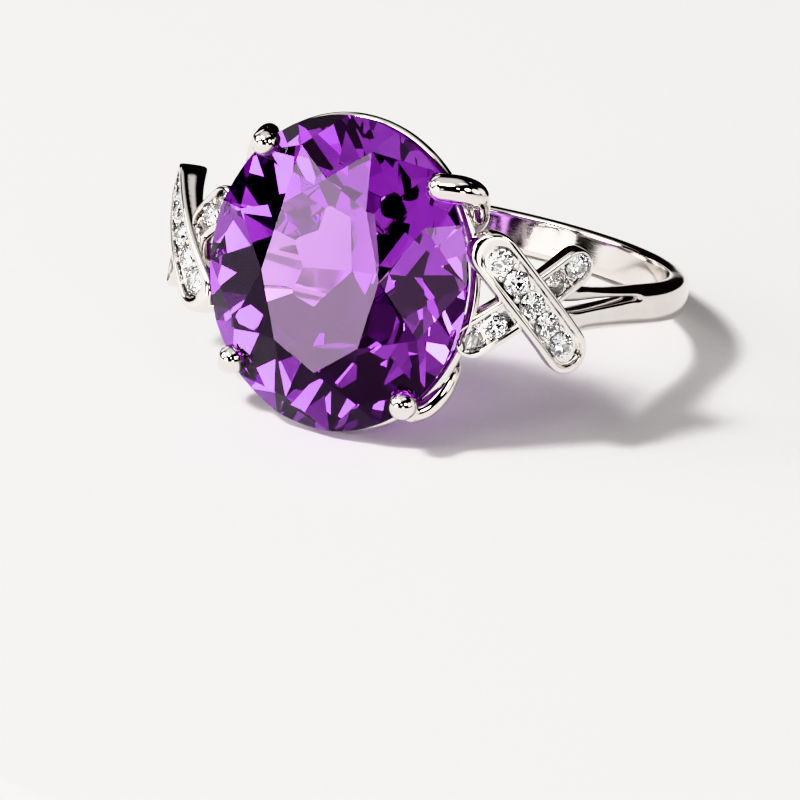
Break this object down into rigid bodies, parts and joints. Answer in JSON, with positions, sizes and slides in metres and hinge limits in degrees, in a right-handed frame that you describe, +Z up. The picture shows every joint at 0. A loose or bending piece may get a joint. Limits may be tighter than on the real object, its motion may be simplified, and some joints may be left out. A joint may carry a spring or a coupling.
{
  "type": "cocktail ring",
  "caption": "Finger ring with a large oval violet stone in a four-prong head, on shoulders of crossed bars set with small clear stones.",
  "frame": {"origin": "on the surface that the ring lies on, below the middle of the whole ring's box", "axes": "+Z up, -Y the way the stone faces, +X to the right of someone who looks at the stone"},
  "size_m": [0.0204, 0.0254, 0.0133],
  "materials": {
    "rhodium_plated_metal": "bright polished rhodium plate on cast silver",
    "amethyst": "faceted and polished violet stone",
    "clear_stone": "faceted and polished colourless stone"
  },
  "bodies": {
    "root": {"shank": "rhodium_plated_metal", "base_rail": "rhodium_plated_metal", "girdle_rail": "rhodium_plated_metal", "centre_stone": "amethyst", "right_upper_prong": "rhodium_plated_metal", "right_lower_prong": "rhodium_plated_metal", "left_upper_prong": "rhodium_plated_metal", "left_lower_prong": "rhodium_plated_metal", "right_over_bar": "rhodium_plated_metal", "right_under_bar": "rhodium_plated_metal", "left_over_bar": "rhodium_plated_metal", "left_under_bar": "rhodium_plated_metal", "right_over_stone_1": "clear_stone", "right_over_stone_2": "clear_stone", "right_over_stone_3": "clear_stone", "right_over_stone_4": "clear_stone", "right_over_stone_5": "clear_stone", "left_over_stone_1": "clear_stone", "left_over_stone_2": "clear_stone", "left_over_stone_3": "clear_stone", "left_over_stone_4": "clear_stone", "left_over_stone_5": "clear_stone", "right_under_stone_1": "clear_stone", "right_under_stone_2": "clear_stone", "right_under_stone_3": "clear_stone", "right_under_stone_4": "clear_stone", "left_under_stone_1": "clear_stone", "left_under_stone_2": "clear_stone", "left_under_stone_3": "clear_stone", "left_under_stone_4": "clear_stone"}
  },
  "joints": []
}
